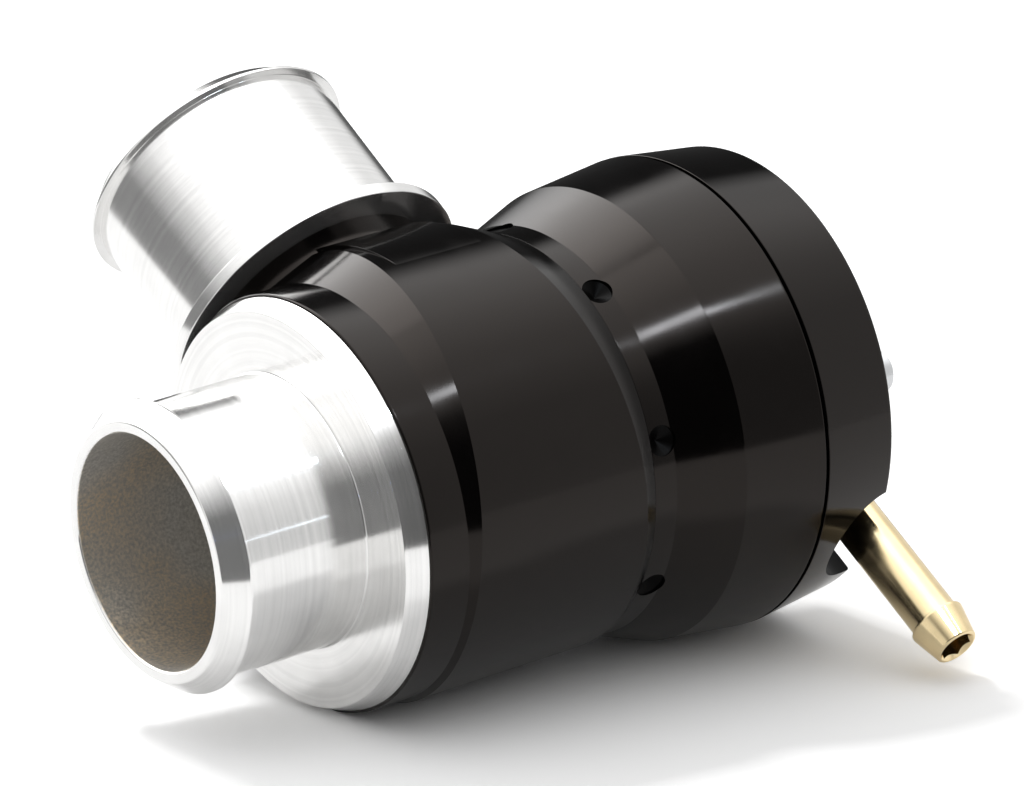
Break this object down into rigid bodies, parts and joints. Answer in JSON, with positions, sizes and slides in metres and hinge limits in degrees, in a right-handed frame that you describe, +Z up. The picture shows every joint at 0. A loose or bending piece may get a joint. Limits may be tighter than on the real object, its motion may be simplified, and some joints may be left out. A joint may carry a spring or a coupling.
{
  "type": "blow off valve",
  "caption": "Blow off valve: sprung piston in a round black body, plain hose spigots at the inlet and at a right angle, and a vacuum nipple in its cap.",
  "frame": {"origin": "on the valve axis, in the front face of the inlet flange, where the inlet hose stops", "axes": "+X along the valve axis from the inlet spigot to the cap; +Z up; the outlet points 34 degrees above +Y"},
  "size_m": [0.1008, 0.098, 0.0766],
  "materials": {
    "bare_aluminium": "fine turned, bare",
    "black_anodised": "black anodised, semi-gloss",
    "brass": "bright turned",
    "soft_washer": "matt",
    "bronze": "bored and honed",
    "piston_aluminium": "turned, hard coated",
    "stainless": "bright",
    "spring_steel": "drawn wire",
    "ptfe": "filled PTFE",
    "seal_rubber": "smooth moulded"
  },
  "bodies": {
    "housing": {"inlet_spigot": "bare_aluminium", "outlet_spigot": "bare_aluminium", "valve_body": "black_anodised", "upper_shell": "black_anodised", "cap": "black_anodised", "vacuum_nipple": "brass", "nipple_washer": "soft_washer", "guide_sleeve": "bronze", "cap_screws": "stainless", "return_spring": "spring_steel", "spring_seat": "spring_steel", "inlet_seal": "seal_rubber", "outlet_seal": "seal_rubber", "shell_seal": "seal_rubber", "sleeve_seal": "seal_rubber", "cap_seal": "seal_rubber"},
    "piston_assembly": {"piston": "piston_aluminium", "piston_wear_ring": "ptfe", "piston_seal": "ptfe", "piston_face_seal": "seal_rubber", "seal_retainer": "piston_aluminium", "retainer_screw": "stainless"}
  },
  "joints": [
    {"name": "piston_lift", "type": "slide", "parent": "housing", "child": "piston_assembly", "axis": [1, 0, 0], "range_m": [0, 0.009], "stiffness_N_per_m": 2500, "springref_m": -0.014, "deforming": ["return_spring"]}
  ]
}
